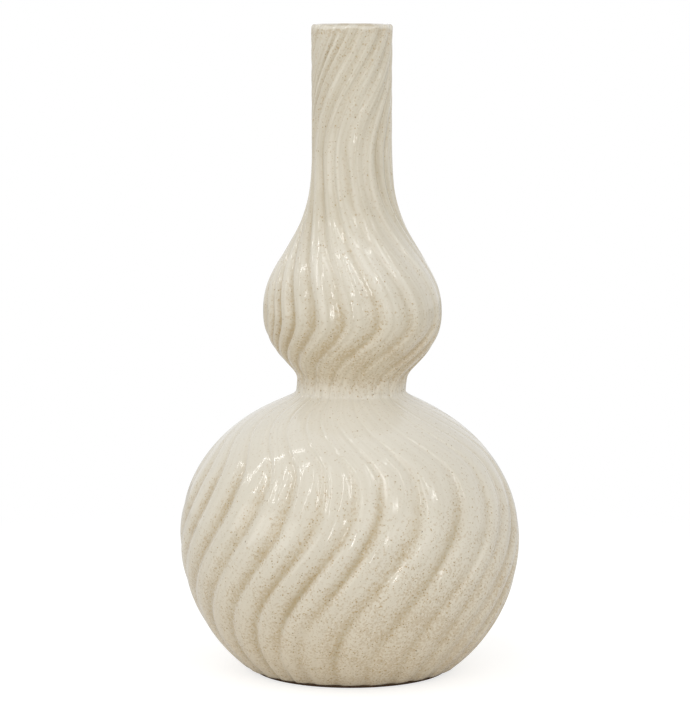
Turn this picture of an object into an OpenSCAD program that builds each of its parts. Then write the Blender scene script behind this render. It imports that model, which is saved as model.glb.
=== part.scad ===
// Fluted earthenware vase in the shape of a double gourd.
// Lower bulb, upper bulb and neck are clay sections, luted end to end with slip, on a bare foot ring.
// The origin is the middle of the footprint, on the table. Z points up, and -Y is the front.

/* [Lower bulb] */
// Height of the waist, where the two bulbs meet
waist_h = 178; // [150:1:210]
// Height of the widest place of the lower bulb
belly_h = 83.5; // [60:0.5:100]
// Diameter of the lower bulb at its widest
belly_d = 211; // [180:1:240]
// Diameter at which the round of the lower bulb would meet the table
foot_d = 124; // [110:1:140]
// Diameter of the waist
waist_d = 67.2; // [56:0.2:76]
// How far under the waist the round shoulder would close
shoulder_gap = 2.5; // [1:0.5:8]

/* [Upper bulb] */
// Height of the upper bulb, from the waist to the seam of the neck
upper_bulb_h = 112; // [95:1:130]
// Height of its widest place above the waist
upper_belly_rise = 45; // [38:1:54]
// Diameter of the upper bulb at its widest
upper_belly_d = 109; // [95:0.2:125]
// How far above the waist the round underside of the upper bulb would close
underside_gap = 2; // [1:0.5:5]
// Climb over which the upper shoulder loses most of its bulge
shoulder_fall = 47.9; // [40:0.1:52]

/* [Neck] */
// Length of the neck, from its seam to the rim
neck_l = 110; // [80:1:140]
// Diameter of the neck at its throat
throat_d = 49.2; // [42:0.2:56]
// Diameter of the neck at the rim
rim_d = 50; // [44:0.2:60]
// Rounding of the lip
lip_r = 2; // [1:0.1:2.8]

/* [Wall and glaze] */
// Thickness of the clay wall, measured from the crests of the flutes
wall_t = 6; // [5:0.1:8]
// Thickness of the floor above the recess of the foot
floor_t = 6; // [4:0.5:10]
// Thickness of the poured glaze that lines the inside
liner_t = 0.6; // [0.3:0.1:1]
// Thickness of the slip in a luted seam
slip_t = 1.5; // [0.8:0.1:2.5]
// Clay that covers a slip seam on the outside
slip_cover = 3.4; // [3:0.1:4]

/* [Foot] */
// How far the bare foot ring is set back from the foot's radius
foot_set_back = 3; // [2.5:0.5:8]
// Width of the foot ring
foot_ring_w = 9; // [6:0.5:14]
// Height of the glazed edge above the table
foot_reveal = 2; // [0.8:0.1:3]
// Depth of the recess under the floor, which the foot ring fills at its edge
foot_recess = 6; // [4:0.5:10]
// Rounding of the glazed edge
foot_edge_r = 2; // [1:0.5:2.5]
// Rounding of the foot ring's own edges
foot_ring_edge_r = 0.8; // [0.4:0.1:1.2]

/* [Flutes] */
// Number of flutes round the lower bulb
lower_flutes = 28; // [20:1:28]
// Depth of the flutes of the lower bulb
lower_flute_depth = 2.4; // [1:0.1:2.6]
// Degrees that the lower flutes swing from the foot up to the shoulder
lower_swing = 33.5; // [0:0.5:45]
// Degrees that they swing back from the shoulder to the waist
shoulder_swing = 25; // [0:0.5:45]
// Number of flutes round the upper bulb and the neck
upper_flutes = 22; // [16:1:22]
// Depth of the flutes of the upper bulb
upper_flute_depth = 2.1; // [1:0.1:2.3]
// Degrees that the upper flutes swing from the waist up to the belly
underside_swing = 38; // [0:0.5:45]
// Degrees that they swing back from the belly to the root of the neck
upper_swing = 45.5; // [0:0.5:55]
// Degrees that they swing along the neck, up to a turn that lies past the rim
neck_swing = 95; // [0:1:110]

/* [Hidden] */
$fn = 120;

// Landmarks of the outline
upper_belly_z = waist_h + upper_belly_rise;
neck_z = waist_h + upper_bulb_h;
vase_h = neck_z + neck_l;
floor_z = foot_recess + floor_t;
belly_r = belly_d / 2;
foot_r = foot_d / 2;
waist_r = waist_d / 2;
upper_belly_r = upper_belly_d / 2;
throat_r = throat_d / 2;
rim_r = rim_d / 2;
passage_r = waist_r - wall_t;
foot_ring_r = foot_r - foot_set_back;

// The round below the belly is an ellipse, cut by the table at the foot's diameter
bowl_depth = belly_h / sqrt(1 - pow(foot_r / belly_r, 2));
// The rounds above the belly and under the upper belly are half ellipses too
shoulder_rise = waist_h - belly_h - shoulder_gap;
underside_drop = upper_belly_rise - underside_gap;
// How sharply each round turns into the waist: a higher power turns it faster
shoulder_power = 5.5;
underside_power = 6;
// Fall of the upper shoulder: 2 would be a plain bell curve, and more gives it fuller hips
bell_power = 2.35;

// Where the flutes turn, as shares of the section's height
foot_turn_share = 0.055;
shoulder_turn_share = 0.73;
neck_root_turn_share = 1.25;
past_rim_share = 1.23;
// Azimuth at which the first groove starts, in degrees from the front towards +X, and the swing there
lower_first_groove = -65.5;
upper_first_groove = -108;
foot_turn_angle = -28.5;
neck_root_angle = 0;

// Widths of neighbouring flutes, which a hand carves unevenly, as shares of the mean width
lower_width_shares = [1, 1, 0.95, 0.94, 0.86, 0.83, 1.13, 1.28, 1.17, 0.93, 0.93, 1, 0.98, 1];
upper_width_shares = [
    0.55, 0.6, 0.9, 1.3, 1.45, 1.45, 1.55, 1.05, 1.1, 1, 0.9,
    0.85, 1, 0.9, 0.85, 1, 0.9, 0.85, 1, 1, 1, 0.8];
// One flute across: how far along its width each point lies, and how deep as a share of the depth
across_shares = [0, 0.13, 0.3, 0.55, 0.79];
depth_shares = [1, 0.5, 0.03, 0.06, 0.5];
// Depth of the flutes along each section: height share of the section, then depth share
lower_fade_shares = [
    [0, 0.35], [0.05, 0.6], [0.12, 0.9], [0.25, 1], [0.66, 1],
    [0.72, 0.8], [0.78, 0.45], [0.84, 0.22], [0.93, 0.15], [1, 0.25]];
upper_fade_shares = [[0, 0.4], [0.12, 0.7], [0.24, 1], [0.5, 1], [0.68, 0.65], [0.85, 0.5], [1, 0.5]];
neck_fade_shares = [[0, 0.5], [0.94, 0.5], [1, 0.2]];

// Rings along each section, and the bunching of the rings where the outline turns fast
bowl_rings = 15;
shoulder_rings = 23;
underside_rings = 13;
hip_rings = 14;
neck_rings = 21;
lip_rings = 3;
foot_edge_rings = 3;
bunching = 1.5;
// Steps of the smooth inside wall along each section
lower_inside_steps = 24;
upper_inside_steps = 18;
neck_inside_steps = 8;
edge_steps = 4;
// Cuts run this far past the faces that they cut
overrun = wall_t / 6;
// Half the height over which the slope of the outline is measured
slope_step = wall_t / 12;

clay_colour = "#ddd4c2";
bare_clay_colour = "#6b5138";
slip_colour = "#c9b79c";
liner_colour = "#e6dfd0";

function ease(t) = (1 - cos(180 * min(max(t, 0), 1))) / 2;

// Quarter round: 0 where the rounding starts and 1 at its edge
function round_in(t) = t <= 0 ? 0 : 1 - sqrt(1 - pow(min(t, 1), 2));

// Half ellipse: 1 at its middle and 0 where it closes
function dome(t) = sqrt(max(0, 1 - t * t));

function blend(a, b, power) = pow(pow(a, power) + pow(b, power), 1 / power);

function bowl(z) = belly_r * dome((belly_h - z) / bowl_depth);

function shoulder(z) = blend(belly_r * dome((z - belly_h) / shoulder_rise), waist_r, shoulder_power);

function underside(z) =
    blend(upper_belly_r * dome((upper_belly_z - z) / underside_drop), waist_r, underside_power);

function stem(z) =
    let (hip = blend(upper_belly_r, waist_r, underside_power))
    let (climb = z - upper_belly_z)
    throat_r + (rim_r - throat_r) * pow(climb / (vase_h - upper_belly_z), 2)
    + (hip - throat_r) * exp(-pow(climb / shoulder_fall, bell_power));

// Radius of the vase over the crests of its flutes
function outline(z) =
    z < belly_h ? bowl(z) : z < waist_h ? shoulder(z) : z < upper_belly_z ? underside(z) : stem(z);

function slope(z) = (outline(z + slope_step) - outline(z - slope_step)) / (2 * slope_step);

// The outline with its rounded foot edge and lip
function skin(z) =
    outline(z)
    - foot_edge_r * round_in((foot_reveal + foot_edge_r - z) / foot_edge_r)
    - lip_r * round_in((z - vase_h + lip_r) / lip_r);

// Inside wall, one wall thickness under the outline
function smooth_inside(z) =
    let (level = min(max(z, floor_z), vase_h - slope_step))
    let (wall_here = wall_t * sqrt(1 + pow(slope(level), 2)))
    z < upper_belly_z ? max(passage_r, outline(level) - wall_here) : outline(level) - wall_here;

function inside(z) = smooth_inside(z) + lip_r * round_in((z - vase_h + lip_r) / lip_r);

// Azimuth that the flutes have swung to at a height
function lower_turn(z) =
    let (foot_turn = foot_turn_share * waist_h)
    let (shoulder_turn = shoulder_turn_share * waist_h)
    foot_turn_angle
    + lower_swing * ease((z - foot_turn) / (shoulder_turn - foot_turn))
    - shoulder_swing * ease((z - shoulder_turn) / (waist_h - shoulder_turn));

function upper_turn(z) =
    let (root = waist_h + neck_root_turn_share * upper_bulb_h)
    let (past_rim = neck_z + past_rim_share * neck_l)
    neck_root_angle
    + neck_swing * ease((z - root) / (past_rim - root))
    + upper_swing * ease((root - z) / (root - upper_belly_z))
    - underside_swing * ease((upper_belly_z - z) / upper_belly_rise);

// Places of all points round a section before they swing
function widths(count, shares) = [for (i = [0:count - 1]) shares[i % len(shares)]];

function sum_of_first(list, count) = count == 0 ? 0 : list[count - 1] + sum_of_first(list, count - 1);

function azimuths(count, shares, first) =
    let (all = widths(count, shares))
    let (scale = 360 / sum_of_first(all, count))
    [for (i = [0:count - 1]) for (share = across_shares)
        first + scale * (sum_of_first(all, i) + share * all[i])];

function place(r, azimuth, z) = [r * sin(azimuth), -r * cos(azimuth), z];

function ring_points(places, turn, depth, z) =
    [for (j = [0:len(places) - 1])
        place(skin(z) - depth * depth_shares[j % len(depth_shares)], places[j] + turn, z)];

// Heights of the rings between two levels, bunched towards the second
function levels(low, high, count) =
    [for (k = [0:count - 1]) low + (high - low) * (1 - pow(1 - k / count, bunching))];

function even_levels(low, high, count) = [for (k = [0:count - 1]) low + (high - low) * k / count];

function reversed(list) = [for (k = [len(list) - 1:-1:0]) list[k]];

foot_edge_z = foot_reveal + foot_edge_r;
lip_z = vase_h - lip_r;
lower_levels = concat(
    [for (k = [0:foot_edge_rings - 1]) foot_edge_z - foot_edge_r * cos(90 * k / foot_edge_rings)],
    even_levels(foot_edge_z, belly_h, bowl_rings),
    levels(belly_h, waist_h, shoulder_rings),
    [waist_h]);
upper_levels = concat(
    reversed(levels(upper_belly_z, waist_h, underside_rings)),
    [for (k = [1:hip_rings]) upper_belly_z + (neck_z - upper_belly_z) * k / hip_rings]);
upper_section_levels = concat([waist_h], upper_levels);
neck_levels = concat(
    even_levels(neck_z, lip_z, neck_rings),
    [for (k = [0:lip_rings]) lip_z + lip_r * sin(90 * k / lip_rings)]);

lower_places = azimuths(lower_flutes, lower_width_shares, lower_first_groove);
upper_places = azimuths(upper_flutes, upper_width_shares, upper_first_groove);

lower_rings = [for (z = lower_levels)
    ring_points(lower_places, lower_turn(z), lower_flute_depth * lookup(z / waist_h, lower_fade_shares), z)];
upper_rings = [for (z = upper_section_levels)
    ring_points(upper_places, upper_turn(z),
        upper_flute_depth * lookup((z - waist_h) / upper_bulb_h, upper_fade_shares), z)];
neck_rings_points = [for (z = neck_levels)
    ring_points(upper_places, upper_turn(z),
        upper_flute_depth * lookup((z - neck_z) / neck_l, neck_fade_shares), z)];

// Closed solid through a stack of rings that all have the same number of points
module skinned(rings) {
    count = len(rings[0]);
    last = len(rings) - 1;
    sides = [for (k = [0:last - 1]) for (j = [0:count - 1])
        let (a = k * count + j, b = k * count + (j + 1) % count)
        each [[a, a + count, b], [b, a + count, b + count]]];
    bottom = [for (j = [0:count - 1]) j];
    top = [for (j = [count - 1:-1:0]) last * count + j];
    points = [for (ring = rings) each ring];
    polyhedron(points = points, faces = concat(sides, [bottom], [top]), convexity = 10);
}

// The hollow of the vase, from the floor to past the rim
inside_levels = concat(
    even_levels(floor_z, waist_h, lower_inside_steps),
    even_levels(waist_h, neck_z, upper_inside_steps),
    even_levels(neck_z, lip_z, neck_inside_steps),
    [lip_z]);

module hollow() {
    lip = [for (k = [1:edge_steps]) let (z = lip_z + lip_r * sin(90 * k / edge_steps)) [inside(z), z]];
    wall = [for (z = inside_levels) [inside(z), z]];
    past_rim = [[inside(vase_h), vase_h + overrun], [0, vase_h + overrun]];
    rotate_extrude()
        polygon(concat([[0, floor_z]], wall, lip, past_rim));
}

// Disc of slip between two sections, still without its hole
module slip_disc(z) {
    translate([0, 0, z - slip_t / 2])
        cylinder(r = outline(z) - slip_cover, h = slip_t);
}

module foot_ring() {
    inner_r = foot_ring_r - foot_ring_w;
    e = foot_ring_edge_r;
    turns = [for (k = [0:edge_steps]) 90 * k / edge_steps];
    inner_edge = [for (a = turns) [inner_r + e - e * cos(a), e - e * sin(a)]];
    outer_edge = [for (a = turns) [foot_ring_r - e + e * sin(a), e - e * cos(a)]];
    color(bare_clay_colour)
        rotate_extrude()
            polygon(concat(inner_edge, outer_edge, [[foot_ring_r, foot_recess], [inner_r, foot_recess]]));
}

module lower_bulb() {
    color(clay_colour)
        difference() {
            skinned(lower_rings);
            hollow();
            translate([0, 0, foot_reveal - overrun])
                cylinder(r = foot_ring_r, h = foot_recess - foot_reveal + overrun);
            slip_disc(waist_h);
        }
}

module waist_seam() {
    color(slip_colour)
        difference() {
            slip_disc(waist_h);
            hollow();
        }
}

module upper_bulb() {
    color(clay_colour)
        difference() {
            skinned(upper_rings);
            hollow();
            slip_disc(waist_h);
            slip_disc(neck_z);
        }
}

module neck_seam() {
    color(slip_colour)
        difference() {
            slip_disc(neck_z);
            hollow();
        }
}

module neck() {
    color(clay_colour)
        difference() {
            skinned(neck_rings_points);
            hollow();
            slip_disc(neck_z);
        }
}

// Thin skin of glaze on the floor and the whole inside wall, up to the lip
module liner_glaze() {
    wall = [for (z = inside_levels) [inside(z), z]];
    glaze_levels = concat([floor_z + liner_t], [for (k = [1:len(inside_levels) - 1]) inside_levels[k]]);
    face = [for (z = glaze_levels) [inside(z) - liner_t, z]];
    color(liner_colour)
        rotate_extrude()
            polygon(concat([[0, floor_z]], wall, reversed(face), [[0, floor_z + liner_t]]));
}

foot_ring();
lower_bulb();
waist_seam();
upper_bulb();
neck_seam();
neck();
liner_glaze();
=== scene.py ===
import math

import bpy
import numpy as np
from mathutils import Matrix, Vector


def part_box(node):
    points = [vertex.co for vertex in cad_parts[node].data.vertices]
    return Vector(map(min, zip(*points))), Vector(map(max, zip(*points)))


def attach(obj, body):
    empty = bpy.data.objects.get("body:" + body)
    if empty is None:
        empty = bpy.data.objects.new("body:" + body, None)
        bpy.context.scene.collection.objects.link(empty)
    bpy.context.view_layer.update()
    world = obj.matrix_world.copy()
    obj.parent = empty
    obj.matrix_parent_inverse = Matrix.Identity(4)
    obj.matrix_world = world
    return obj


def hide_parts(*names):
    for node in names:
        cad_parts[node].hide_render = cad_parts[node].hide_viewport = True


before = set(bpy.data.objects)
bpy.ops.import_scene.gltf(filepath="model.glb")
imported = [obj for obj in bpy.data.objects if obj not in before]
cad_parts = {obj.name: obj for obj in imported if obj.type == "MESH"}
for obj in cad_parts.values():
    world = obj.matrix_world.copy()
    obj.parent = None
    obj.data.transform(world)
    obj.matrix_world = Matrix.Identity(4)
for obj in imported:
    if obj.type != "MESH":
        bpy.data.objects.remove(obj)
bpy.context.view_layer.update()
print("frame loaded with", len(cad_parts), "nodes")

# The shape is worked out in millimetres and turned to metres when a mesh is made
mm = 0.001

# Landmarks that the frame gives
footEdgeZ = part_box("lower_bulb")[0].z / mm
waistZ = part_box("lower_bulb")[1].z / mm
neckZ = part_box("neck")[0].z / mm
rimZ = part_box("neck")[1].z / mm
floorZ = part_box("liner_glaze")[0].z / mm
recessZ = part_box("foot_ring")[1].z / mm
seamLow, seamHigh = (corner.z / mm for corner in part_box("waist_seam"))
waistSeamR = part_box("waist_seam")[1].x / mm
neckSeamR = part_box("neck_seam")[1].x / mm
halfSlip = (seamHigh - seamLow) / 2

# Outline over the crests of the flutes, all in millimetres
form = {
    "bellyZ": 83.5,
    "bellyR": 105.5,
    "footR": 62,
    "waistR": 33.6,
    "shoulderGap": 2.5,     # the round shoulder would close this far under the waist
    "shoulderPower": 5.5,   # higher turns faster into the waist
    "upperRise": 45,        # widest place of the upper bulb above the waist
    "upperR": 54.5,
    "undersideGap": 2,
    "undersidePower": 6,
    "shoulderFall": 47.9,
    "bellPower": 2.35,
    "throatR": 24.6,
    "rimR": 25,
    "wall": 6,
    "lipR": 2,
    "footEdgeR": 2,
    # how far the thrown sections lean off the axis towards +X, as [height, lean]
    "lean": [[0, 0], [60, -0.2], [80, -0.7], [112, -0.9], [125, -1.4], [165, -1.4], [178, 1.0],
             [190, 1.5], [222, 1.2], [250, 0.8], [400, 0.9]],
}

bowlDepth = form["bellyZ"] / math.sqrt(1 - (form["footR"] / form["bellyR"]) ** 2)
shoulderRise = waistZ - form["bellyZ"] - form["shoulderGap"]
upperBellyZ = waistZ + form["upperRise"]
undersideDrop = form["upperRise"] - form["undersideGap"]


def dome(t):
    return np.sqrt(np.maximum(0, 1 - t * t))


def blend(a, b, power):
    return (a ** power + b ** power) ** (1 / power)


def ease(t):
    return (1 - np.cos(np.pi * np.clip(t, 0, 1))) / 2


def roundIn(t):
    # quarter round: 0 where it starts and 1 at its edge
    return np.where(t <= 0, 0, 1 - np.sqrt(1 - np.clip(t, 0, 1) ** 2))


def outline(z):
    bowl = form["bellyR"] * dome((form["bellyZ"] - z) / bowlDepth)
    over = form["bellyR"] * dome((z - form["bellyZ"]) / shoulderRise)
    under = form["upperR"] * dome((upperBellyZ - z) / undersideDrop)
    shoulder = blend(over, form["waistR"], form["shoulderPower"])
    underside = blend(under, form["waistR"], form["undersidePower"])
    hip = blend(form["upperR"], form["waistR"], form["undersidePower"])
    climb = np.maximum(z - upperBellyZ, 0)
    stem = (form["throatR"] + (form["rimR"] - form["throatR"]) * (climb / (rimZ - upperBellyZ)) ** 2
            + (hip - form["throatR"]) * np.exp(-(climb / form["shoulderFall"]) ** form["bellPower"]))
    return np.where(z < form["bellyZ"], bowl,
                    np.where(z < waistZ, shoulder, np.where(z < upperBellyZ, underside, stem)))


def skinRadius(z):
    lip = form["lipR"] * roundIn((z - rimZ + form["lipR"]) / form["lipR"])
    edge = form["footEdgeR"] * roundIn((footEdgeZ + form["footEdgeR"] - z) / form["footEdgeR"])
    return outline(z) - lip - edge


def insideRadius(z):
    step = 0.5
    level = np.clip(z, floorZ, rimZ - step)
    slope = (outline(level + step) - outline(level - step)) / (2 * step)
    radius = outline(level) - form["wall"] * np.sqrt(1 + slope ** 2)
    radius = np.where(z < upperBellyZ, np.maximum(form["waistR"] - form["wall"], radius), radius)
    return radius + form["lipR"] * roundIn((z - rimZ + form["lipR"]) / form["lipR"])


# Where a table is read round one height, as (mm up or down, share)
roundOff = [(-9, 0.1), (-6, 0.15), (-3, 0.15), (0, 0.2), (3, 0.15), (6, 0.15), (9, 0.1)]


def lookUp(z, table):
    # straight lines between the table's places, rounded off over a few millimetres so that nothing kinks
    heights, values = zip(*table)
    return sum(share * np.interp(z + step, heights, values) for step, share in roundOff)


# Carved flutes. Azimuths are in degrees from the front towards +X, heights in millimetres
lowerFlutes = {
    "count": 28,
    "depth": 2.15,
    "first": -65.5,
    "widths": [1, 1.05, 1, 0.95, 0.83, 0.79, 1.1, 1.29, 1.17, 0.91, 0.98, 1.02, 0.97, 0.94],
    "fade": [[0, 0.7], [9, 0.75], [21, 0.85], [44, 0.9], [60, 1], [105, 1], [125, 0.8], [145, 0.45],
             [165, 0.2], [178, 0.3]],
    "narrow": [[0, 1], [112, 1], [130, 0.75], [150, 0.45], [178, 0.4]],     # width of the grooves
    # strength of each groove from the first on, where the carver pressed harder or lighter
    "strengths": [0.95, 1, 0.95, 1, 1, 0.95, 1, 0.98, 0.9, 0.85, 0.8, 0.85, 0.9, 0.95],
    "strengthFrom": 0,      # the strengths count between these two heights
    "strengthTo": 400,
    "wander": [[0, 0.8], [178, 0.8]],       # degrees that a groove strays from its even path
    "uneven": [[0, 0.15], [178, 0.15]],     # share by which its depth comes and goes
    "ripple": [[0, 0.03], [120, 0.04], [160, 0.03], [168, 0.1], [178, 0.15]],
    "combR": 95,    # radius at which the streaks of the carving tool have their true width
    "seed": 11,
}
upperFlutes = {
    "count": 22,
    "depth": 2.1,
    "first": -107,
    "widths": [0.5, 0.66, 0.98, 1.28, 1.36, 1.36, 1.7, 1.12, 1.14, 0.94, 0.88, 0.85, 1, 0.9, 0.85, 1,
               0.9, 0.85, 1, 1, 1, 0.76],
    "fade": [[178, 0.45], [191, 0.7], [205, 1], [234, 1], [254, 0.78], [273, 0.65], [290, 0.65],
             [394, 0.65], [400, 0.3]],
    "narrow": [[178, 0.7], [200, 1], [400, 1]],
    "strengths": [1, 1, 1, 1.05, 1, 0.85, 0.7, 0.6, 0.5, 0.55, 0.7, 0.9, 1, 1, 0.9, 1, 1, 0.9, 1, 1,
                  0.9, 1],
    "strengthFrom": 205,
    "strengthTo": 272,      # above it the narrow flutes are shallower instead
    "wander": [[178, 0.8], [260, 1.0], [310, 2.0], [400, 2.5]],
    "uneven": [[178, 0.15], [260, 0.2], [310, 0.35], [400, 0.4]],
    "ripple": [[178, 0.15], [186, 0.12], [196, 0.07], [240, 0.05], [300, 0.07], [400, 0.08]],
    "combR": 45,
    "seed": 23,
}
# The S swing of the flutes: the heights where they turn back, and the degrees they swing between them
swing = {
    "footTurn": 0.055 * waistZ,
    "shoulderTurn": 0.73 * waistZ,
    "footAngle": -29.2,     # how far the lower flutes are turned at the foot
    "lower": 35.7,          # up the belly
    "shoulder": 26.5,       # and back over the shoulder
    "neckRoot": waistZ + 1.25 * (neckZ - waistZ),
    "pastRim": neckZ + 1.23 * (rimZ - neckZ),
    "underside": 39.5,      # from the waist to the widest place of the upper bulb
    "upper": 45.5,          # and back up to the root of the neck
    "neck": 95,             # and on to where the swing would end, past the rim
}


def lowerTurn(z):
    low, high = swing["footTurn"], swing["shoulderTurn"]
    return (swing["footAngle"] + swing["lower"] * ease((z - low) / (high - low))
            - swing["shoulder"] * ease((z - high) / (waistZ - high)))


def upperTurn(z):
    low, high = swing["neckRoot"], swing["pastRim"]
    return (swing["neck"] * ease((z - low) / (high - low))
            + swing["upper"] * ease((low - z) / (low - upperBellyZ))
            - swing["underside"] * ease((upperBellyZ - z) / form["upperRise"]))


def roundTheVase(flutes, name):
    # a list's values for all flutes, starting over where the list is shorter
    values = flutes[name]
    return np.array([values[i % len(values)] for i in range(flutes["count"])], float)


def prepare(flutes, turn):
    # where each groove lies, how strong it is, and the chance part of the carving, drawn once
    draw = np.random.default_rng(flutes["seed"])
    widths = roundTheVase(flutes, "widths")
    flutes["turn"] = turn
    flutes["base"] = flutes["first"] + 360 * np.concatenate([[0], np.cumsum(widths)[:-1]]) / widths.sum()
    flutes["phase"] = draw.uniform(0, 2 * math.pi, (5, flutes["count"]))
    flutes["strength"] = roundTheVase(flutes, "strengths")
    flutes["slack"] = np.minimum(1, widths)


prepare(lowerFlutes, lowerTurn)
prepare(upperFlutes, upperTurn)


fluteSection = {
    "steepSide": 0.3,       # share of a flute's width that rises steeply out of its groove
    "gentleSide": 0.55,     # share that falls gently into the next one
    "ripples": 3,           # fine waves across one flute
    "strengthFade": 25,     # mm of height over which the strengths come in and go
    "meeting": 8,           # mm over which the two sets of flutes run into each other at the waist
    "footCalm": 6,          # mm up from the foot's edge, and down from the rim, where the thrown wall's
    "rimCalm": 4,           # unevenness dies away
}


def twoWaves(z, long, phaseLong, share, short, phaseShort):
    # a slow wave along the height with a smaller quick one on it, lengths in mm of height a radian
    return np.sin(z / long + phaseLong) + share * np.sin(z / short + phaseShort)


def fluteDepth(flutes, azimuth, z):
    # depth of the carving at one height, and how far into a valley each point lies
    phase = flutes["phase"]
    stray = lookUp(z, flutes["wander"]) * twoWaves(z, 31, phase[0], 0.6, 13, phase[1])
    started = ease((z - flutes["strengthFrom"]) / fluteSection["strengthFade"])
    ended = ease((z - flutes["strengthTo"]) / fluteSection["strengthFade"])
    own = 1 + (flutes["strength"] - 1) * (started * (1 - ended))
    own = own * (1 + (flutes["slack"] - 1) * ended)
    comeAndGo = lookUp(z, flutes["uneven"]) * twoWaves(z, 23, phase[2], 0.5, 11, phase[3])
    strength = own * np.clip(1 + comeAndGo, 0.1, 2)
    grooves = flutes["base"] + flutes["turn"](z) + stray
    start = grooves[0]
    grooves = np.append(grooves, start + 360)
    strength = np.append(strength, strength[0])
    along = (azimuth - start) % 360 + start
    index = np.clip(np.searchsorted(grooves, along, side="right") - 1, 0, flutes["count"] - 1)
    t = (along - grooves[index]) / (grooves[index + 1] - grooves[index])
    # a steep rise out of each groove, a broad crest and a gentle fall into the next
    narrow = lookUp(z, flutes["narrow"])
    rise = 1 - ease(t / (fluteSection["steepSide"] * narrow))
    fall = ease(1 - (1 - t) / (fluteSection["gentleSide"] * narrow))
    valley = rise * strength[index] + fall * strength[index + 1]
    swell = (2 * math.pi * fluteSection["ripples"] * t + phase[4][index]
             + 1.3 * np.sin(z / 23 + phase[2][index]))
    ripple = lookUp(z, flutes["ripple"]) * np.cos(swell)
    fade = lookUp(z, flutes["fade"])
    return flutes["depth"] * fade * valley + ripple * (1 - 0.5 * rise), valley * fade


def carving(azimuth, z):
    # the lower set of flutes below the waist, the upper set above it, and a share of both in between
    share = ease((z - waistZ + fluteSection["meeting"] / 2) / fluteSection["meeting"])
    depth, valley = 0, 0
    for flutes, part in ((lowerFlutes, 1 - share), (upperFlutes, share)):
        if part > 0:
            d, v = fluteDepth(flutes, azimuth, z)
            depth, valley = depth + part * d, valley + part * v
    return depth, valley


def handThrown(azimuth, z):
    # slow unevenness of a thrown wall, a fraction of a millimetre
    a = np.radians(azimuth)
    return 0.22 * np.sin(2 * a + z / 45) + 0.14 * np.sin(3 * a - z / 27 + 1) + 0.04 * np.sin(z / 7 + a)


def ringLevels(low, high, step, fineAt):
    # heights whose rings lie one step apart along the skin, and down to 0.3 of it within 8 mm of fineAt
    fine = low + (high - low) * ease(np.linspace(0, 1, 6001))
    length = np.hypot(np.diff(fine), np.diff(skinRadius(fine)))
    middle = (fine[1:] + fine[:-1]) / 2
    near = np.min([np.abs(middle - z) for z in fineAt], axis=0)
    local = step * (0.3 + 0.7 * np.clip(near / 8, 0, 1))
    count = np.concatenate([[0], np.cumsum(length / local)])
    rings = max(4, round(count[-1]))
    return np.interp(np.linspace(0, count[-1], rings + 1), count, fine)


# Places across one flute, closer together in the groove and over the crest
acrossLower = [0, 0.03, 0.065, 0.105, 0.15, 0.2, 0.25, 0.3, 0.36, 0.43, 0.5, 0.57, 0.64, 0.71, 0.78,
               0.85, 0.91, 0.96]
acrossUpper = [0, 0.03, 0.07, 0.11, 0.15, 0.2, 0.25, 0.3, 0.36, 0.42, 0.48, 0.54, 0.6, 0.66, 0.72,
               0.78, 0.84, 0.89, 0.93, 0.97]


def columnBases(flutes, across):
    base = np.append(flutes["base"], flutes["base"][0] + 360)
    return (base[:-1, None] + np.diff(base)[:, None] * np.array(across)).ravel()


def ringPoints(radius, azimuth, z, lean=0.0):
    a = np.radians(azimuth)
    height = np.broadcast_to(z, a.shape)
    return np.stack([radius * np.sin(a) + lean, -radius * np.cos(a), height], axis=1)


def skinRings(levels, columns, flutes):
    # the rings, how far each point lies in a valley, and its place on a tube whose flutes run straight
    rings, valleys, straight = [], [], []
    for z in levels:
        azimuth = columns + flutes["turn"](z)
        depth, valley = carving(azimuth, z)
        calm = (min(1, max(0, (z - footEdgeZ) / fluteSection["footCalm"]))
                * min(1, max(0, (rimZ - z) / fluteSection["rimCalm"])))
        radius = skinRadius(z) - depth + handThrown(azimuth, z) * calm
        rings.append(ringPoints(radius, azimuth, z, lookUp(z, form["lean"])))
        valleys.append(valley)
        straight.append(ringPoints(flutes["combR"], columns, z))
    return rings, valleys, straight


def plainRings(profile, columns, firstTurn, lastTurn):
    # smooth rings along a profile of (radius, height). They turn from one end ring of the skin to the
    # other, so that the joining faces don't twist
    turns = np.linspace(firstTurn, lastTurn, len(profile))
    return [ringPoints(np.full(len(columns), float(r)), columns + a, z)
            for (r, z), a in zip(profile, turns)]


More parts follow.
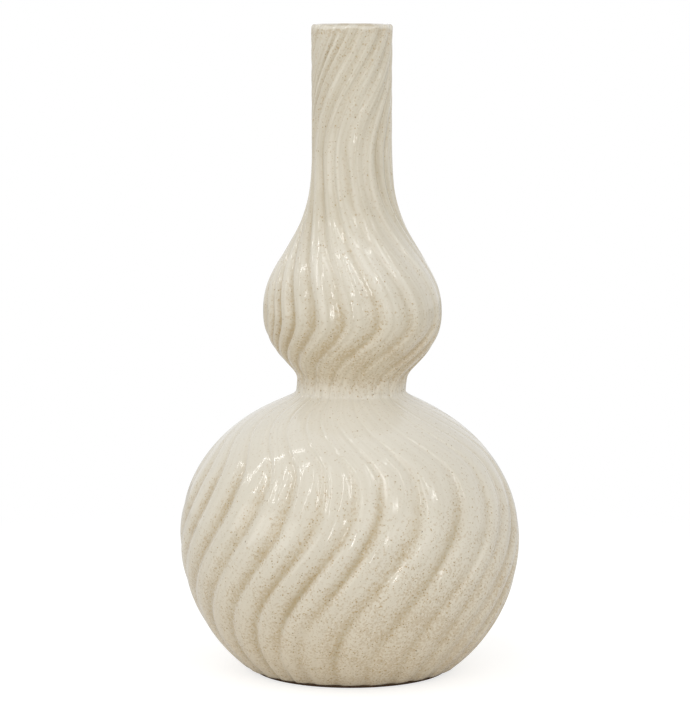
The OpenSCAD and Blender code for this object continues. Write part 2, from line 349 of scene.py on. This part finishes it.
def closedMesh(name, rings, skinStart, valleys, straight, poles, sharp, material):
    # a skin over a stack of rings: with poles set it ends in a point at both ends, else it runs round to
    # its start
    count = len(rings[0])
    points = [np.concatenate(rings)]
    around = np.arange(count)
    nextOne = (around + 1) % count
    starts = [k * count for k in range(len(rings))]
    pairs = list(zip(starts, starts[1:])) + ([] if poles else [(starts[-1], 0)])
    quads = [np.stack([a + around, a + nextOne, b + nextOne, b + around], axis=1) for a, b in pairs]
    faces = np.concatenate(quads).tolist()
    if poles:
        low = len(rings) * count
        points.append([[0, 0, rings[0][0][2]], [0, 0, rings[-1][0][2]]])
        faces += np.stack([nextOne, around, np.full(count, low)], axis=1).tolist()
        top = starts[-1]
        faces += np.stack([top + around, top + nextOne, np.full(count, low + 1)], axis=1).tolist()
    mesh = bpy.data.meshes.new(name)
    mesh.from_pydata((np.concatenate(points) * mm).tolist(), [], faces)
    mesh.polygons.foreach_set("use_smooth", np.ones(len(mesh.polygons), bool))
    # corners of the profile stay crisp
    isSharp = np.zeros(len(mesh.edges), bool)
    ends = np.zeros(len(mesh.edges) * 2, int)
    mesh.edges.foreach_get("vertices", ends)
    ringOf = ends.reshape(-1, 2) // count
    for k in sharp:
        isSharp |= (ringOf[:, 0] == k) & (ringOf[:, 1] == k)
    mesh.attributes.new("sharp_edge", "BOOLEAN", "EDGE").data.foreach_set("value", isSharp)
    # what the glaze needs to know of the carving
    skin = slice(skinStart * count, (skinStart + len(valleys)) * count)
    values = np.zeros(len(mesh.vertices))
    if valleys:
        values[skin] = np.concatenate(valleys)
    mesh.attributes.new("valley", "FLOAT", "POINT").data.foreach_set("value", values)
    places = np.zeros((len(mesh.vertices), 3))
    if straight:
        places[skin] = np.concatenate(straight)
    mesh.attributes.new("alongFlute", "FLOAT_VECTOR", "POINT").data.foreach_set("vector", places.ravel())
    mesh.materials.append(material)
    mesh.validate()
    piece = bpy.data.objects.new(name, mesh)
    bpy.context.scene.collection.objects.link(piece)
    return piece


def linear(hexColour):
    # sRGB hex to a linear colour with alpha
    channels = [int(hexColour[i:i + 2], 16) / 255 for i in (1, 3, 5)]
    return tuple(c / 12.92 if c <= 0.04045 else ((c + 0.055) / 1.055) ** 2.4 for c in channels) + (1.0,)


def addNode(tree, kind, settings=None, inputs=None):
    # a node with its settings and links: an input is a value, an output socket, or a node whose first
    # output feeds it
    node = tree.nodes.new(kind)
    for name, value in (settings or {}).items():
        setattr(node, name, value)
    for name, value in (inputs or {}).items():
        if isinstance(value, bpy.types.Node):
            value = value.outputs[0]
        if isinstance(value, bpy.types.NodeSocket):
            tree.links.new(value, node.inputs[name])
        else:
            node.inputs[name].default_value = value
    return node


def newMaterial(name):
    material = bpy.data.materials.new(name)
    material.use_nodes = True
    material.node_tree.nodes.clear()
    return material, material.node_tree


def placeInMm(tree):
    place = addNode(tree, "ShaderNodeTexCoord").outputs["Object"]
    return addNode(tree, "ShaderNodeVectorMath", {"operation": "SCALE"}, {0: place, "Scale": 1 / mm})


def setRamp(node, stops):
    # stops are (place, grey) pairs
    ramp = node.color_ramp
    while len(ramp.elements) < len(stops):
        ramp.elements.new(0.5)
    for element, (place, grey) in zip(ramp.elements, stops):
        element.position = place
        element.color = (grey, grey, grey, 1)


glazeLook = {
    "cream": "#d8d1c1",
    "paleCream": "#e1dbcb",
    # what lies over the cream, from the first layer to the last: its colour, and how much it hides at most
    "layers": {
        # warm tan, partly the glaze's own colour and partly painted shade low down and under the upper bulb
        "warmTanAndShade": ("#dacdb5", 1.0),
        # painted light: paler where the shoulders of both bulbs face up
        "shoulderLight": ("#e6e1d4", 1.0),
        # greyer, darker cream over the upper bulb and up the neck
        "greyerCream": ("#cbc4b1", 1.0),
        # painted shade along the bottom of each groove
        "grooveShade": ("#b4a88d", 1.0),
        # tan in the valleys, partly pooled glaze and partly painted shade
        "valleyTan": ("#c6b696", 0.7),
        "valleyOchre": ("#ae9364", 0.5),
        "mottling": ("#ad8f5a", 0.33),
        "blotches": ("#ad8f5a", 0.5),
        "flecks": ("#ad8f5a", 0.75),
        "specks": ("#66502f", 0.8),
        "rimBand": ("#e6e1d4", 0.7),
        "lip": ("#b39f7a", 0.75),
        "combed": ("#b9ad93", 1.0),
    },
    "fleckBrown": "#8b7449",    # the darkest flecks
    # unevenness of the glaze, as (mm across one spot, detail)
    "noises": {
        "clouds": (40, 3.0),
        "patches": (14, 2.0),
        "ochre": (3.5, 3.0),
        "mottling": (1.5, 2.0),
        "ragged": (1 / 1.4, 1.0),
        "rimEdge": (5, 2.0),
        "lip": (9, 2.0),
    },
    # flecks of iron, as (mm from one to the next, largest radius as a share of that)
    "dots": {
        "blotches": (3.4, 0.3),
        "flecks": (1.5, 0.42),
        "specks": (7, 0.09),
    },
    "ragged": 0.9,          # mm by which the edges of flecks stray from a circle
    "striaWidth": 2.6,      # mm across one fine streak that the carving tool left along a flute
    "striaLength": 200,
    "striaDepth": 0.17,
    "halfWidth": 60.0,      # mm from the axis to where the left and the right side differ most
    "rimEdge": 5.0,         # mm by which the pale band at the rim hangs down unevenly
    "roughness": 0.11,
    "refraction": 1.55,
    # shares by height, as (mm, share)
    "byHeight": {
        # cells that hold a fleck, on open glaze and in the valleys
        "openFlecks": [(0, 0.9), (40, 0.85), (62, 0.7), (85, 0.42), (105, 0.22), (135, 0.06),
                       (172, 0.04), (182, 0.9), (202, 0.8), (216, 0.35), (235, 0.14), (300, 0.14),
                       (370, 0.3), (392, 0.4), (397, 0.9)],
        "valleyFlecks": [(0, 0.4), (40, 0.7), (95, 1.0), (120, 0.9), (135, 0.5), (150, 0.1),
                         (180, 0.4), (200, 1.0), (225, 0.9), (250, 0.2), (320, 0.3), (370, 0.6),
                         (400, 0.7)],
        # darker warm tan towards the foot and under the upper bulb, partly the glaze's own colour and
        # partly painted shade; greyer cream over the upper bulb and the neck; painted light that makes the
        # shoulders paler
        "warmTanAndShade": [(0, 0.85), (30, 0.6), (60, 0.35), (95, 0.08), (170, 0), (180, 0.6), (188, 1),
                      (205, 0.85), (225, 0.2), (262, 0.05), (285, 0.12), (400, 0.2)],
        "greyerCream": [(175, 0), (195, 0.25), (235, 0.3), (255, 0), (285, 0.4), (400, 0.5)],
        "shoulderLight": [(125, 0), (145, 0.3), (168, 0.8), (180, 0.2), (225, 0), (245, 0.5), (262, 0.6),
                       (285, 0)],
        # the carving tool's fine streaks: how deep they are and how much tan shows in them
        "combDepth": [(0, 0.5), (100, 0.5), (116, 1), (138, 0.9), (155, 0.2), (176, 0.12),
                      (184, 0.25), (200, 0.5), (400, 0.5)],
        "combed": [(0, 0.1), (100, 0.12), (135, 0.1), (160, 0.07), (174, 0.07), (185, 0.32),
                   (230, 0.3), (400, 0.28)],
        # painted shade: how clearly the bottom of each groove shows as a thin dark line, and how much the
        # valleys darken, partly pooled tan glaze and partly painted shade
        "grooveShade": [(0, 0.5), (30, 0.6), (120, 0.6), (145, 0.45), (176, 0.4), (190, 0.5), (225, 0.6),
                   (280, 0.6), (400, 0.7)],
        "valleyTone": [(0, 0.3), (30, 0.35), (60, 0.45), (105, 0.7), (128, 0.5), (145, 0.3),
                       (172, 0.3), (182, 0.9), (212, 1.0), (230, 0.6), (255, 0.35), (310, 0.45),
                       (400, 0.55)],
    },
}


def creamGlaze():
    # Earthenware under a poured cream glaze with ochre iron flecks: wet gloss, tan where it runs thin
    look = glazeLook
    material, tree = newMaterial("creamGlazedEarthenware")
    inMm = placeInMm(tree)
    axes = addNode(tree, "ShaderNodeSeparateXYZ", None, {0: inMm})
    across, height = axes.outputs["X"], axes.outputs["Z"]
    valley = addNode(tree, "ShaderNodeAttribute", {"attribute_name": "valley"}).outputs["Fac"]
    straight = addNode(tree, "ShaderNodeAttribute", {"attribute_name": "alongFlute"}).outputs["Vector"]
    multiply = {"operation": "MULTIPLY"}
    multiplyClamped = {"operation": "MULTIPLY", "use_clamp": True}

    byHeight = {}
    heightShare = addNode(tree, "ShaderNodeMath", {"operation": "DIVIDE"}, {0: height, 1: rimZ})
    for name, stops in look["byHeight"].items():
        byHeight[name] = addNode(tree, "ShaderNodeValToRGB", None, {0: heightShare})
        setRamp(byHeight[name], [(z / rimZ, grey) for z, grey in stops])
    noises = {}
    for name, (size, detail) in look["noises"].items():
        noises[name] = addNode(tree, "ShaderNodeTexNoise", None,
                               {"Vector": inMm, "Scale": 1 / size, "Detail": detail})

    # how thickly the iron flecks lie. The left side's valleys show more of them, and its low flank less
    half = look["halfWidth"]
    side = addNode(tree, "ShaderNodeMapRange", None, {0: across, 1: -half, 2: half, 3: 1.0, 4: 0.45})
    flank = addNode(tree, "ShaderNodeMapRange", None, {0: across, 1: -half, 2: half, 3: 0.6, 4: 1.3})
    patches = addNode(tree, "ShaderNodeMapRange", None,
                      {0: noises["patches"], 1: 0.3, 2: 0.7, 3: 0.5, 4: 1.5})
    inValleys = addNode(tree, "ShaderNodeMath", multiply, {0: valley, 1: byHeight["valleyFlecks"]})
    inValleys = addNode(tree, "ShaderNodeMath", multiply, {0: inValleys, 1: side})
    onRidges = addNode(tree, "ShaderNodeMath", multiply, {0: byHeight["openFlecks"], 1: flank})
    density = addNode(tree, "ShaderNodeMath", {"operation": "ADD"}, {0: onRidges, 1: inValleys})
    density = addNode(tree, "ShaderNodeMath", multiply, {0: density, 1: patches})

    # shares by height: warm tan that is partly painted shade, greyer cream, and painted light on the
    # shoulders
    shares = {name: byHeight[name] for name in ("warmTanAndShade", "shoulderLight", "greyerCream")}
    # painted shade: a thin dark line along the bottom of each groove
    grooveShade = addNode(tree, "ShaderNodeMath", {"operation": "POWER"}, {0: valley, 1: 6.0})
    shares["grooveShade"] = addNode(tree, "ShaderNodeMath", multiplyClamped, {0: grooveShade, 1: byHeight["grooveShade"]})
    # tan in the valleys, partly pooled glaze and partly painted shade, broken up by ochre blotches a few
    # millimetres across
    tone = addNode(tree, "ShaderNodeMath", {"operation": "POWER"}, {0: valley, 1: 1.6})
    tone = addNode(tree, "ShaderNodeMath", multiply, {0: tone, 1: byHeight["valleyTone"]})
    tone = addNode(tree, "ShaderNodeMath", multiplyClamped, {0: tone, 1: side})
    ochre = addNode(tree, "ShaderNodeMapRange", None, {0: noises["ochre"], 1: 0.42, 2: 0.68})
    shares["valleyTan"] = tone
    shares["valleyOchre"] = addNode(tree, "ShaderNodeMath", multiply, {0: tone, 1: ochre})
    # fine mottling that gets denser with the flecks
    spots = addNode(tree, "ShaderNodeMath", multiply, {0: density, 1: 0.16})
    spots = addNode(tree, "ShaderNodeMath", {"operation": "ADD"}, {0: noises["mottling"], 1: spots})
    shares["mottling"] = addNode(tree, "ShaderNodeMapRange", None, {0: spots, 1: 0.61, 2: 0.76})

    # blotches, single flecks and a few dark specks: one in each cell whose own chance number is under
    # the wanted share, from 0.4 to 1 of the largest radius, and a little soft at its edge
    ragged = addNode(tree, "ShaderNodeVectorMath", {"operation": "MULTIPLY_ADD"},
                     {0: noises["ragged"].outputs["Color"], 1: (look["ragged"],) * 3, 2: inMm})
    blotchy = addNode(tree, "ShaderNodeMath", multiply, {0: density, 1: 0.5})
    blotchyValleys = addNode(tree, "ShaderNodeMath", multiply, {0: inValleys, 1: 0.4})
    chances = {
        "blotches": addNode(tree, "ShaderNodeMath", {"operation": "ADD"}, {0: blotchy, 1: blotchyValleys}),
        "flecks": density,
        "specks": addNode(tree, "ShaderNodeMath", multiply, {0: density, 1: 0.8}),
    }
    tones = {}
    for name, (cell, radius) in look["dots"].items():
        cells = addNode(tree, "ShaderNodeTexVoronoi", None,
                        {"Vector": ragged, "Scale": 1 / cell, "Randomness": 1.0})
        draw = addNode(tree, "ShaderNodeSeparateColor", None, {0: cells.outputs["Color"]})
        there = addNode(tree, "ShaderNodeMath", {"operation": "LESS_THAN"},
                        {0: draw.outputs["Red"], 1: chances[name]})
        size = addNode(tree, "ShaderNodeMapRange", None,
                       {0: draw.outputs["Green"], 3: 0.4 * radius, 4: radius})
        size = addNode(tree, "ShaderNodeMath", multiply, {0: size, 1: there})
        edge = addNode(tree, "ShaderNodeMath", {"operation": "SUBTRACT"},
                       {0: size, 1: cells.outputs["Distance"]})
        shares[name] = addNode(tree, "ShaderNodeMath", multiplyClamped, {0: edge, 1: 2.5 / radius})
        tones[name] = draw.outputs["Blue"]
    brown = addNode(tree, "ShaderNodeMapRange", None, {0: tones["flecks"], 1: 0.5, 2: 1.0})
    fleckColour = addNode(tree, "ShaderNodeMix", {"data_type": "RGBA"},
                          {0: brown, 6: linear(look["layers"]["flecks"][0]),
                           7: linear(look["fleckBrown"])}).outputs[2]

    # a pale ragged band of glaze hangs at the rim, and over the lip itself it runs thin
    hanging = addNode(tree, "ShaderNodeMath", multiply, {0: noises["rimEdge"], 1: look["rimEdge"]})
    hanging = addNode(tree, "ShaderNodeMath", {"operation": "ADD"}, {0: height, 1: hanging})
    shares["rimBand"] = addNode(tree, "ShaderNodeMapRange", None,
                                {0: hanging, 1: rimZ - 0.6, 2: rimZ + 0.6})
    thin = addNode(tree, "ShaderNodeMapRange", None, {0: noises["lip"], 1: 0.45, 2: 0.6})
    lip = addNode(tree, "ShaderNodeMapRange", None, {0: height, 1: rimZ - 1.2, 2: rimZ - 0.2})
    shares["lip"] = addNode(tree, "ShaderNodeMath", multiply, {0: lip, 1: thin})

    # fine streaks that the carving tool left along the flutes
    stretched = addNode(tree, "ShaderNodeVectorMath", multiply,
                        {0: straight, 1: (1, 1, look["striaWidth"] / look["striaLength"])})
    stria = addNode(tree, "ShaderNodeTexNoise", None,
                    {"Vector": stretched, "Scale": 1 / look["striaWidth"], "Detail": 0.0})
    combed = addNode(tree, "ShaderNodeMapRange", None, {0: stria, 1: 0.35, 2: 0.7})
    shares["combed"] = addNode(tree, "ShaderNodeMath", multiply, {0: combed, 1: byHeight["combed"]})
    bump = addNode(tree, "ShaderNodeBump", None,
                   {"Strength": byHeight["combDepth"], "Distance": look["striaDepth"] * mm,
                    "Height": stria})

    body = addNode(tree, "ShaderNodeMix", {"data_type": "RGBA"},
                   {0: noises["clouds"], 6: linear(look["cream"]), 7: linear(look["paleCream"])}).outputs[2]
    for name, (colour, most) in look["layers"].items():
        hidden = addNode(tree, "ShaderNodeMath", multiply, {0: shares[name], 1: most})
        laid = fleckColour if name == "flecks" else linear(colour)
        body = addNode(tree, "ShaderNodeMix", {"data_type": "RGBA"},
                       {0: hidden, 6: body, 7: laid}).outputs[2]
    shader = addNode(tree, "ShaderNodeBsdfPrincipled", None,
                     {"Base Color": body, "Roughness": look["roughness"], "IOR": look["refraction"],
                      "Normal": bump})
    addNode(tree, "ShaderNodeOutputMaterial", None, {0: shader})
    return material


# The plain finishes. Grain and bumps are in millimetres
clayLooks = {
    # Clear glaze poured inside: the same cream, plain and glossy
    "pouredLinerGlaze": {"colour": "#e6dcc6", "deeper": "#dccfb4", "roughness": 0.1, "grain": 9,
                         "bumps": 0.03},
    # Bare fired earthenware, wiped clean of glaze: matt brown with sandy grain, its dark brown partly
    # painted shade of the gap under the foot
    "bareEarthenwareAndGapShade": {"colour": "#5c442d", "deeper": "#412f1f", "roughness": 0.85, "grain": 1.2,
                             "bumps": 0.15},
    # Fired slip that luted the sections together: matt and pale
    "firedLutingSlip": {"colour": "#c9b79c", "deeper": "#b8a484", "roughness": 0.8, "grain": 1.0,
                        "bumps": 0.1},
}


def plainClay(name):
    look = clayLooks[name]
    material, tree = newMaterial(name)
    grains = addNode(tree, "ShaderNodeTexNoise", None,
                     {"Vector": placeInMm(tree), "Scale": 1 / look["grain"], "Detail": 4.0})
    body = addNode(tree, "ShaderNodeMix", {"data_type": "RGBA"},
                   {0: grains, 6: linear(look["colour"]), 7: linear(look["deeper"])}).outputs[2]
    bump = addNode(tree, "ShaderNodeBump", None,
                   {"Strength": 0.6, "Distance": look["bumps"] * mm, "Height": grains})
    shader = addNode(tree, "ShaderNodeBsdfPrincipled", None,
                     {"Base Color": body, "Roughness": look["roughness"], "IOR": 1.5, "Normal": bump})
    addNode(tree, "ShaderNodeOutputMaterial", None, {0: shader})
    return material


glazed = creamGlaze()
lined = plainClay("pouredLinerGlaze")
# the foot ring's dark brown is partly painted shade of the gap under the foot
bareClayAndGapShade = plainClay("bareEarthenwareAndGapShade")
firedSlip = plainClay("firedLutingSlip")
print("materials made")

footRing = {
    "outerR": 60.6,
    "innerR": 50.5,
    "edgeR": 0.8,
    "columns": 240,
}
# How fine the meshes are: mm from ring to ring on the skin, and the number of steps down the hollow
skinStep = {"lower": 0.7, "upper": 0.6, "neck": 0.9}
insideSteps = {"lower": 28, "upper": 20, "neck": 10}
lipSteps = 6
footEdgeSteps = 4


def insideProfile(low, high, steps):
    return [(float(insideRadius(z)), z) for z in np.linspace(low, high, steps + 1)]


def seatFace(z, seamR, side):
    # how a section ends at a seam, from the skin inwards: side is -1 below the slip and 1 above it
    seatZ = z + side * halfSlip
    return [(seamR, z), (seamR, seatZ), (insideRadius(z), seatZ)]


def makeFootRing():
    # a wiped ring, a little uneven, with soft edges where it stands
    columns = np.arange(footRing["columns"]) * 360 / footRing["columns"]
    inner, outer, e = footRing["innerR"], footRing["outerR"], footRing["edgeR"]
    turns = [math.pi / 2 * k / footEdgeSteps for k in range(footEdgeSteps + 1)]
    profile = [(inner, recessZ)]
    profile += [(inner + e - e * math.cos(a), e - e * math.sin(a)) for a in turns]
    profile += [(outer - e + e * math.sin(a), e - e * math.cos(a)) for a in turns]
    profile += [(outer, recessZ)]
    a = np.radians(columns)
    wave = 0.12 * np.sin(3 * a + 1) + 0.1 * np.sin(7 * a)
    rings = [ringPoints(r + wave * (0.2 < z < recessZ), columns, z) for r, z in profile]
    return closedMesh("footRing", rings, 0, [], [], False, [0, len(rings) - 1], bareClayAndGapShade)


def makeLowerBulb():
    # from the middle of the foot recess, up the fluted skin, over the seam face and down to the floor
    columns = columnBases(lowerFlutes, acrossLower)
    levels = ringLevels(footEdgeZ, waistZ, skinStep["lower"], [footEdgeZ, waistZ])
    skin, valleys, straight = skinRings(levels, columns, lowerFlutes)
    ringR = footRing["outerR"]
    recess = [(ringR * 0.5, recessZ), (ringR, recessZ), (ringR, footEdgeZ)]
    inner = insideProfile(floorZ, waistZ - halfSlip - 1, insideSteps["lower"])[::-1]
    floor = [(inner[-1][0] * 0.5, floorZ)]
    lowTurn, highTurn = lowerTurn(levels[0]), lowerTurn(levels[-1])
    below = plainRings(recess, columns, lowTurn, lowTurn)
    above = plainRings(seatFace(waistZ, waistSeamR, -1) + inner + floor, columns, highTurn, highTurn)
    rings = below + skin + above
    first = len(below)
    top = first + len(skin)
    sharp = [1, 2, first, top - 1, top, top + 1, top + 2, len(rings) - 2]
    return closedMesh("lowerBulb", rings, first, valleys, straight, True, sharp, glazed)


def makeUpperBulb():
    # up the fluted skin, in over the neck's seam and down the hollow, back to the waist
    columns = columnBases(upperFlutes, acrossUpper)
    levels = ringLevels(waistZ, neckZ, skinStep["upper"], [waistZ, neckZ])
    skin, valleys, straight = skinRings(levels, columns, upperFlutes)
    inner = insideProfile(waistZ + halfSlip + 1, neckZ - halfSlip - 1, insideSteps["upper"])[::-1]
    profile = seatFace(neckZ, neckSeamR, -1) + inner + seatFace(waistZ, waistSeamR, 1)[::-1]
    rings = skin + plainRings(profile, columns, upperTurn(neckZ), upperTurn(waistZ))
    top = len(skin)
    end = len(rings)
    sharp = [0, top - 1, top, top + 1, top + 2, end - 3, end - 2, end - 1]
    return closedMesh("upperBulb", rings, 0, valleys, straight, False, sharp, glazed)


def makeNeck():
    # up the fluted skin, over the rounded lip and down the bore
    columns = columnBases(upperFlutes, acrossUpper)
    lipZ = rimZ - form["lipR"]
    levels = ringLevels(neckZ, lipZ, skinStep["neck"], [neckZ, rimZ])
    arc = [lipZ + form["lipR"] * math.sin(math.pi / 2 * k / lipSteps) for k in range(1, lipSteps + 1)]
    skin, valleys, straight = skinRings(np.concatenate([levels, arc]), columns, upperFlutes)
    inner = [(float(insideRadius(z)), z) for z in arc[::-1]]
    inner += insideProfile(neckZ + halfSlip + 1, lipZ, insideSteps["neck"])[::-1]
    profile = inner + seatFace(neckZ, neckSeamR, 1)[::-1]
    rings = skin + plainRings(profile, columns, upperTurn(rimZ), upperTurn(neckZ))
    end = len(rings)
    sharp = [0, end - 3, end - 2, end - 1]
    return closedMesh("tallNeck", rings, 0, valleys, straight, False, sharp, glazed)


# what makes each piece, the node that it replaces and its slot
pieces = [
    (makeFootRing, "foot_ring", "bare_clay"),
    (makeLowerBulb, "lower_bulb", "glazed_clay"),
    (makeUpperBulb, "upper_bulb", "glazed_clay"),
    (makeNeck, "neck", "glazed_clay"),
]
for make, node, slot in pieces:
    piece = make()
    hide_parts(node)
    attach(piece, "root")
    print(piece.name, "made with", len(piece.data.polygons), "faces")


def dress(node, material):
    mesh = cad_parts[node].data
    mesh.materials.clear()
    mesh.materials.append(material)


dress("waist_seam", firedSlip)
dress("neck_seam", firedSlip)
dress("liner_glaze", lined)
print("frame pieces dressed")

studio = {
    "floorSize": 8.0,       # metres
    "floorColour": "#f8f7f5",
    "floorLift": 1.42,      # how bright the floor is to the camera by itself
    "shadowReach": (0.3, 0.6),
    "ambient": 0.59,
    "lampDistance": 2.0,    # metres from the aim
    "aim": (0, 0, 0.15),
    "lamps": [
        # name, azimuth from the front and height in degrees, width and height in metres, and how
        # bright its face is
        ("stripFarLeft", -98, 50, (0.04, 1.4), 12),
        ("stripLeft", -62, 50, (0.04, 1.4), 13.5),
        ("stripNearLeft", -30, 50, (0.035, 1.4), 13.5),
        ("stripNearRight", 4, 50, (0.035, 1.4), 14.5),
        ("stripRight", 37, 50, (0.035, 1.4), 13.5),
        ("stripFarRight", 70, 50, (0.04, 1.4), 11),
        ("stripLow", 3, 9, (0.03, 0.85), 22),
        ("stripLowRight", 26, 10, (0.03, 0.4), 15),
        ("broadLowLeft", -50, 8, (1.5, 1.0), 1.0),
        ("broadLowRight", 50, 8, (1.5, 1.0), 0.6),
    ],
}


def aimAt(thing, target):
    direction = np.array(target) - np.array(thing.location)
    flat = math.hypot(direction[0], direction[1])
    thing.rotation_euler = (math.pi / 2 + math.atan2(direction[2], flat), 0,
                            math.atan2(direction[1], direction[0]) - math.pi / 2)


def makeLamps():
    for name, azimuth, height, size, brightness in studio["lamps"]:
        lamp = bpy.data.lights.new(name, "AREA")
        lamp.shape = "RECTANGLE"
        lamp.size, lamp.size_y = size
        lamp.energy = brightness * math.pi * size[0] * size[1]
        holder = bpy.data.objects.new(name, lamp)
        a, h = math.radians(azimuth), math.radians(height)
        direction = [math.cos(h) * math.sin(a), -math.cos(h) * math.cos(a), math.sin(h)]
        holder.location = np.array(studio["aim"]) + studio["lampDistance"] * np.array(direction)
        aimAt(holder, studio["aim"])
        bpy.context.scene.collection.objects.link(holder)


def makeFloor():
    half = studio["floorSize"] / 2
    corners = [(-half, -half, 0), (half, -half, 0), (half, half, 0), (-half, half, 0)]
    mesh = bpy.data.meshes.new("floor")
    mesh.from_pydata(corners, [], [(0, 1, 2, 3)])
    floor = bpy.data.objects.new("floor", mesh)
    bpy.context.scene.collection.objects.link(floor)
    # Matt white paper: white to the camera, but it keeps the shadow
    material, tree = newMaterial("mattStudioPaper")

    toCamera = addNode(tree, "ShaderNodeLightPath").outputs["Is Camera Ray"]
    place = addNode(tree, "ShaderNodeTexCoord").outputs["Object"]
    away = addNode(tree, "ShaderNodeVectorMath", {"operation": "LENGTH"}, {0: place}).outputs["Value"]
    near, far = studio["shadowReach"]
    clear = addNode(tree, "ShaderNodeMapRange", {"interpolation_type": "SMOOTHSTEP"},
                    {0: away, 1: near, 2: far})
    paper = addNode(tree, "ShaderNodeBsdfDiffuse", None, {"Color": linear(studio["floorColour"])})
    lift, white = [addNode(tree, "ShaderNodeEmission", None, {"Color": (1, 1, 1, 1), "Strength": strength})
                   for strength in (studio["floorLift"], 1.0)]
    shaded = addNode(tree, "ShaderNodeMixShader", None, {0: 0.5, 1: paper, 2: lift})
    shown = addNode(tree, "ShaderNodeMixShader", None, {0: clear, 1: shaded, 2: white})
    seen = addNode(tree, "ShaderNodeMixShader", None, {0: toCamera, 1: paper, 2: shown})
    addNode(tree, "ShaderNodeOutputMaterial", None, {0: seen})
    mesh.materials.append(material)


def makeWorld():
    # plain white to the camera and in reflections, dimmer as a light
    world = bpy.data.worlds.new("studio")
    bpy.context.scene.world = world
    world.use_nodes = True
    tree = world.node_tree
    tree.nodes.clear()
    rays = addNode(tree, "ShaderNodeLightPath").outputs
    seen = addNode(tree, "ShaderNodeMath", {"operation": "ADD"},
                   {0: rays["Is Camera Ray"], 1: rays["Is Glossy Ray"]})
    seen = addNode(tree, "ShaderNodeMath", {"operation": "ADD", "use_clamp": True},
                   {0: seen, 1: rays["Is Transmission Ray"]})
    strength = addNode(tree, "ShaderNodeMapRange", None, {0: seen, 3: studio["ambient"], 4: 1.0})
    light = addNode(tree, "ShaderNodeBackground", None, {0: (1, 1, 1, 1), 1: strength})
    addNode(tree, "ShaderNodeOutputWorld", None, {0: light})


makeLamps()
makeFloor()
makeWorld()

# The photograph's camera, worked out from the ellipses of the rim and the foot
camera = {
    "distance": 1.9926,
    "height": 0.4417,
    "tiltDown": 7.0,        # degrees
    "focalPx": 3247,
    "axisPx": 350.6,        # the vase's axis in the picture
    "picture": (690, 708),
}


def makeCamera():
    wide, tall = camera["picture"]
    data = bpy.data.cameras.new("camera")
    data.sensor_width = 36
    data.lens = camera["focalPx"] * data.sensor_width / max(wide, tall)
    data.shift_x = (wide / 2 - camera["axisPx"]) / max(wide, tall)
    data.clip_end = 50
    holder = bpy.data.objects.new("camera", data)
    holder.location = (0, -camera["distance"], camera["height"])
    holder.rotation_euler = (math.radians(90 - camera["tiltDown"]), 0, 0)
    bpy.context.scene.collection.objects.link(holder)
    bpy.context.scene.camera = holder


makeCamera()
bpy.context.scene.view_settings.view_transform = "Standard"
print("studio and camera set")
